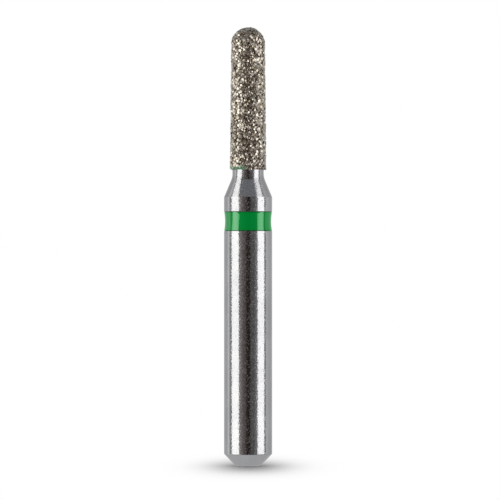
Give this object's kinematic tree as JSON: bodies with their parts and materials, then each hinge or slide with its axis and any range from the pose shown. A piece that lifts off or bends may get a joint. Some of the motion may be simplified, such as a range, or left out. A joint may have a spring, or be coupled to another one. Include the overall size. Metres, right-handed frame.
{
  "type": "dental bur",
  "caption": "Round-ended diamond dental bur: a steel friction-grip shank with a coloured band and a grit-coated, slightly tapered head.",
  "frame": {"origin": "centre of the flat end face of the shank", "axes": "+Z along the bur's axis, from the shank's end to the tip of the head; it is round about that axis, so +X and +Y are free"},
  "size_m": [0.0016, 0.0016, 0.0146],
  "materials": {
    "ground_steel": "finely ground, satin",
    "green_lacquer": "glossy lacquer",
    "diamond_grit": "rough coating of crystals in a nickel bond"
  },
  "bodies": {
    "root": {"steel_blank": "ground_steel", "colour_band": "green_lacquer", "diamond_coating": "diamond_grit"}
  },
  "joints": []
}
